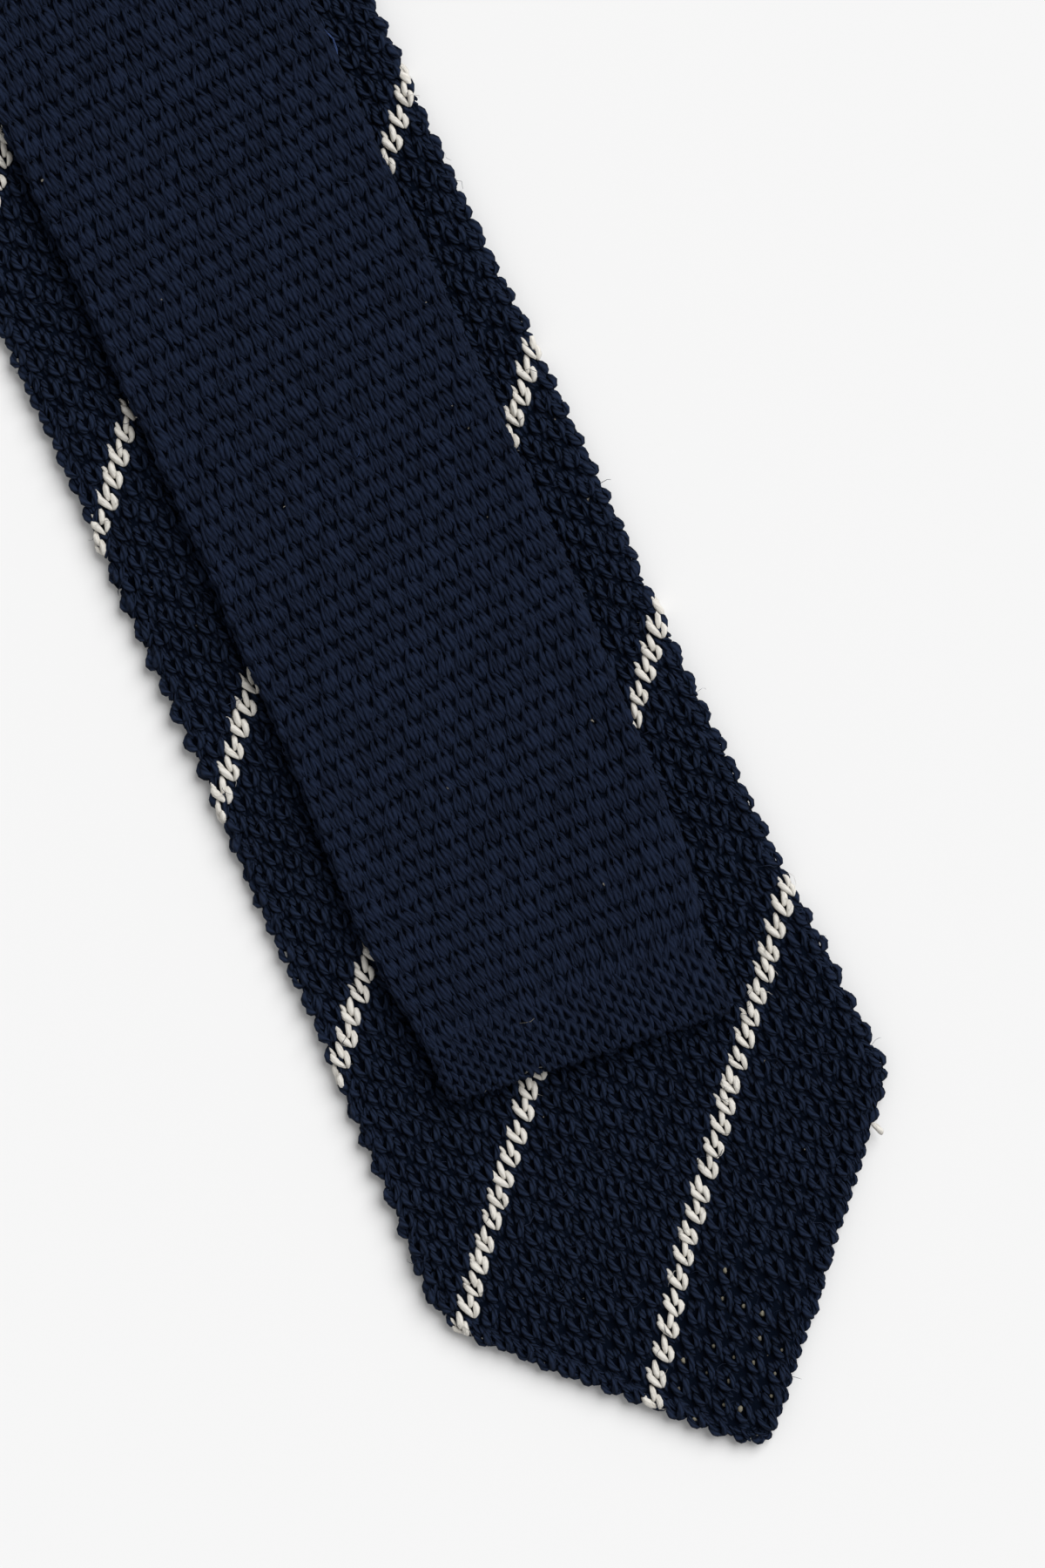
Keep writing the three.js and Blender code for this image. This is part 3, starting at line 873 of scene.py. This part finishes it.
# The tail's stitches: pairs of leaves over crossing legs, each row half a stitch aside.
tailKnit = {
    "across": 2.22, "row": 2.44, "shift": 1.11,
    "aside": -0.4,
    "first": 10.4,  # from the tail's end
    "pastEdge": 1.9,
    "columns": 20,  # on each side
    "top": 0.78,
    "endRows": 28,
    "fullRows": 56,  # drawn in full, the end rows among them
    "middleRows": 110,
    "neckRows": 98,
    "seamGap": 4.0,
}
tailStitch = [
    {"start": (0.12, 0.48, 0.12), "end": (0.84, -2.80, 0.16), "bow": (0.20, 0.22, 0.12), "thick": 0.64,
     "blunt": 3.6},
    {"start": (0.25, -0.44, 0.14), "end": (0.13, -2.78, 0.04), "bow": (0.14, 0.0, 0.26), "thick": 0.84,
     "taper": 0.15, "blunt": 3.0},
    {"start": (0.18, -3.20, -0.10), "end": (0.20, -4.88, -0.02), "bow": (0.06, 0.0, 0.26), "thick": 0.66,
     "sides": 5, "rings": 4},
]
tailFarStitch = [
    {"start": (0.30, -0.30, 0.18), "end": (0.24, -3.00, 0.16), "bow": (0.18, 0.0, 0.26), "thick": 1.18},
]


# Rows of the tail's or the hem's stitches from a start to an end, every other row shifted.
def rowLattice(rows, start, end):
    spots = []
    reach = tailShape["halfWidth"] + rows["pastEdge"]
    counts = np.arange(-rows["columns"], rows["columns"] + 1)
    for row in range(round((end - start) / rows["row"])):
        along = start + row * rows["row"]
        odd = round((along - rows["first"]) / rows["row"]) % 2
        columns = counts * rows["across"] + rows["shift"] * odd + rows["aside"]
        spots += [(across, along) for across in columns[np.abs(columns) < reach]]
    return np.array(spots)


tailTop = tailKnit["top"]
tailStart = tailKnit["first"]
closeStart = tailStart + tailKnit["endRows"] * tailKnit["row"]
closeEnd = tailStart + tailKnit["fullRows"] * tailKnit["row"]
middleEnd = closeEnd + tailKnit["middleRows"] * tailKnit["row"]
foldStart = middleEnd + tailKnit["neckRows"] * tailKnit["row"]
tailClose = variants(paired(tailStitch), sides=6, rings=4, count=6, change=0.025)
tailFar = variants(paired(tailFarStitch), sides=3, rings=3, count=3)
for name, start, end in (("tail_stitches_end", tailStart, closeStart),
                         ("tail_stitches_close", closeStart, closeEnd)):
    spots = places(rowLattice(tailKnit, start, end), turn=3.0, jitter=0.04)
    knit(name, dealt(tailClose, spots), onTail, tailTop, tailYarn)
for name, start, end in (("tail_stitches_middle", closeEnd, middleEnd),
                         ("tail_stitches_neck", middleEnd, foldStart)):
    knit(name, dealt(tailFar, places(rowLattice(tailKnit, start, end))), onTail, tailTop, tailYarn)
foldSpots = places(rowLattice(tailKnit, foldStart, tailLength - tailKnit["seamGap"]))
tailFold = variants(paired(tailFarStitch), sides=5, rings=4, count=3)
knit("tail_stitches_fold", dealt(tailFold, foldSpots), onTail, tailTop, tailYarn)

# The hem's stitches, in close rows.
hemKnit = {
    "across": 2.256, "row": 0.97, "shift": 1.128,
    "aside": 0.0,
    "first": 0.2,
    "rows": 10,
    "pastEdge": 1.6,
    "columns": 12,  # on each side
    "top": 0.55,
}
hemStitch = [
    {"start": (0.10, 0.30, 0.04), "end": (0.58, -1.46, 0.10), "bow": (0.06, 0.04, 0.12), "thick": 0.82},
]
hemEnd = hemKnit["first"] + hemKnit["rows"] * hemKnit["row"]
hemDrawn = variants(paired(hemStitch), sides=6, rings=5, count=5, change=0.04)
spots = places(rowLattice(hemKnit, hemKnit["first"], hemEnd), turn=3, jitter=0.04)
hem = knit("hem_stitches", dealt(hemDrawn, spots), onTail, hemKnit["top"], tailYarn)
print("tail knitted")

# Loose fibres, specks and holes: how many of each, and between which corners they are strewn.
fuzz = {
    "bladeHairs": 300, "tailHairs": 240, "edgeHairs": 12, "stripeHairs": 60,
    "specks": 23,  # on the blade, and again on the tail
    "holes": 18,  # small ones near the tip
    "bladeCorners": ((-30.0, 3.0), (30.0, 210.0)),  # across, and up from the tip
    "tailCorners": ((-19.0, 6.0), (19.0, 150.0)),  # across, and along from the tail's end
    "bladeInset": 0.8,
    "besideTail": 0.5,
    "edgeReach": 215.0,  # along the outline, each way from the tip
    "edgeOut": -0.1,
    "holesMiddle": -1.0, "holesHalf": 7.5, "holesTop": 19.0,
    "stripeMiddle": 1.2,
    "bladeLift": 0.25, "lift": 0.2,  # how much higher than stitches the hairs lie
}
hair = [{"start": (-0.9, -0.15, 0.30), "end": (0.85, 0.2, 0.45), "bow": (0.1, 0.45, 0.22), "thick": 0.06}]
edgeHair = [{"start": (-0.5, -0.3, 0.3), "end": (0.55, 0.35, 0.15), "bow": (0.0, 0.25, 0.15), "thick": 0.05}]
speck = [{"start": (-0.1, 0.0, 0.42), "end": (0.1, 0.03, 0.46), "bow": (0.0, 0.03, 0.05), "thick": 0.17}]
hole = [{"start": (-0.06, 0.72, 0.22), "end": (0.06, 1.20, 0.22), "bow": (0.0, 0.0, 0.03), "thick": 0.38}]

# Loose ends of yarn. The blade's are placed across, up from the tip and above the floor, and the
# tail's as its stitches are.
bladeEnds = [
    (blueThread, {"start": (20.9, 165.8, 3.0), "end": (20.8, 171.0, 3.2), "bow": (0.5, 0.0, 0.5),
                  "thick": 0.26}),
    (bladeYarn, {"start": (12.3, 47.2, 3.5), "end": (15.4, 48.6, 3.2), "bow": (0.2, -0.3, 0.2),
                 "thick": 0.36}),
    (stripeYarn, {"start": (20.9, 119.3, 2.4), "end": (20.5, 117.6, 2.5), "bow": (-0.3, 0.0, 0.1),
                  "thick": 0.22}),
    (stripeYarn, {"start": (26.1, 26.9, 1.9), "end": (25.5, 28.5, 2.2), "bow": (0.1, 0.0, 0.2),
                  "thick": 0.80}),
]
tailEnds = [
    (lintYarn, {"start": (-7.2, 6.9, 0.60), "end": (-4.9, 7.4, 0.62), "bow": (0.3, -0.7, 0.1),
                "thick": 0.08}),
    (stripeYarn, {"start": (-15.6, 0.1, 0.45), "end": (-14.7, 0.3, 0.50), "bow": (0.0, 0.0, 0.1),
                  "thick": 0.20}),
    (blueThread, {"start": (2.0, 74.0, 0.60), "end": (2.9, 75.2, 0.60), "bow": (0.3, -0.2, 0.1),
                  "thick": 0.07}),
]


# Places by chance between two corners: three times as many as asked, since some are dropped.
def strewn(count, corners):
    low, high = corners
    return np.stack([chance.uniform(low[axis], high[axis], count * 3) for axis in (0, 1)], 1)


def overBlade(count):
    spots = strewn(count, fuzz["bladeCorners"]) + [0, tipY]
    kept = (nearOutline(spots)[0] > fuzz["bladeInset"]) & ~underTail(spots, -fuzz["besideTail"])
    return spots[kept][:count]


def overTail(count):
    return strewn(count, fuzz["tailCorners"])[:count]


hairs = variants(hair, sides=3, rings=5, count=6, change=0.2)
holesOff = np.abs(bladeSpots[:, 0] - fuzz["holesMiddle"])
holeSpots = bladeSpots[plain & (holesOff < fuzz["holesHalf"]) & (height < fuzz["holesTop"])]
holeSpots = chance.permutation(holeSpots)[:fuzz["holes"]]
edgeWay = chance.uniform(tipLength - fuzz["edgeReach"], tipLength + fuzz["edgeReach"], fuzz["edgeHairs"])
edgeSpots = np.stack([np.full(len(edgeWay), fuzz["edgeOut"]), edgeWay], 1)

spots = places(overBlade(fuzz["bladeHairs"]), turn=180, size=0.2)
knit("blade_fibres", dealt(hairs, spots), onBlade, bladeTop - fuzz["bladeLift"], hairYarn)
spots = places(overTail(fuzz["tailHairs"]), turn=180, size=0.2)
knit("tail_fibres", dealt(hairs, spots), onTail, tailTop - fuzz["lift"], hairYarn)
edgeHairs = variants(edgeHair, sides=3, rings=5, count=5, change=0.2)
knit("edge_fibres", dealt(edgeHairs, places(edgeSpots, turn=35, size=0.2)), alongOutline, 0, hairYarn)
for name, strew, onto, top in (("blade_lint", overBlade, onBlade, bladeTop),
                               ("tail_lint", overTail, onTail, tailTop)):
    specks = variants(speck, sides=4, rings=3, count=4, change=0.05)
    knit(name, dealt(specks, places(strew(fuzz["specks"]), turn=180, size=0.3)), onto, top, lintYarn)
holes = variants(hole, sides=5, rings=4, count=4, change=0.04)
knit("blade_holes", dealt(holes, places(holeSpots, size=0.2)), onBlade, bladeTop, holeLight)
stripeSpots = chance.permutation(bladeSpots[striped & close])[:fuzz["stripeHairs"]]
spots = places(stripeSpots + [0, fuzz["stripeMiddle"]], turn=180, size=0.2, jitter=0.5)
knit("stripe_fibres", dealt(hairs, spots), onBlade, bladeTop - fuzz["lift"], stripeYarn)
for label, ends, onto, top in (("blade_end", bladeEnds, asLaid, 0), ("tail_end", tailEnds, onTail, tailTop)):
    for number, (material, strand) in enumerate(ends, 1):
        laid = places([[0, 0]], turn=0, size=0, lift=0, jitter=0)
        drawn = drawStitch([strand], sides=5, rings=7)
        knit(f"{label}_{number}", [(drawn, laid)], onto, top, material, wave=0.1)
print("loose fibres laid")

for piece, nodes in ((bladeCloth, ["front_blade"]), (stripes, bladeNodes[1:]),
                     (tailCloth, ["tail"]), (hem, ["tail_hem"])):
    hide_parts(*nodes)

# Floor, light and camera. Lengths are in metres here.
studio = {
    "floor": "F2F2F2", "floorSize": 40, "floorZ": -0.0001, "floorRough": 0.9,
    "world": 0.38,
    "key": 2.75, "keyAngle": 50, "keyFrom": (0.80, 0.30, 1.0),
    "lens": 135, "target": (0.0052, -0.2964), "height": 0.683,
    "roll": -24.8,  # degrees
    "clipStart": 0.01,
}
bpy.ops.object.select_all(action="DESELECT")
bpy.ops.mesh.primitive_plane_add(size=studio["floorSize"], location=(0, 0, studio["floorZ"]))
floor = bpy.context.object
floor.name = "floor"
# Matt paper: an even white without gloss.
paper = bpy.data.materials.new("matt white paper")
paper.use_nodes = True
coat = paper.node_tree.nodes["Principled BSDF"].inputs
coat["Base Color"].default_value = linear(studio["floor"])
coat["Roughness"].default_value = studio["floorRough"]
coat["Specular IOR Level"].default_value = 0.0
floor.data.materials.append(paper)

world = bpy.data.worlds.new("soft studio")
world.use_nodes = True
world.node_tree.nodes["Background"].inputs["Color"].default_value = (1, 1, 1, 1)
world.node_tree.nodes["Background"].inputs["Strength"].default_value = studio["world"]
bpy.context.scene.world = world

bpy.ops.object.light_add(type="SUN", rotation=(0, 0, 0))
key = bpy.context.object
key.data.energy = studio["key"]
key.data.angle = math.radians(studio["keyAngle"])
key.rotation_mode = "QUATERNION"
key.rotation_quaternion = Vector(studio["keyFrom"]).to_track_quat("Z", "Y")

bpy.ops.object.camera_add(location=(*studio["target"], studio["height"]),
                          rotation=(0, 0, math.radians(studio["roll"])))
camera = bpy.context.object
camera.data.lens = studio["lens"]
camera.data.clip_start = studio["clipStart"]
bpy.context.scene.camera = camera
bpy.context.scene.view_settings.view_transform = "Standard"

print("camera set")
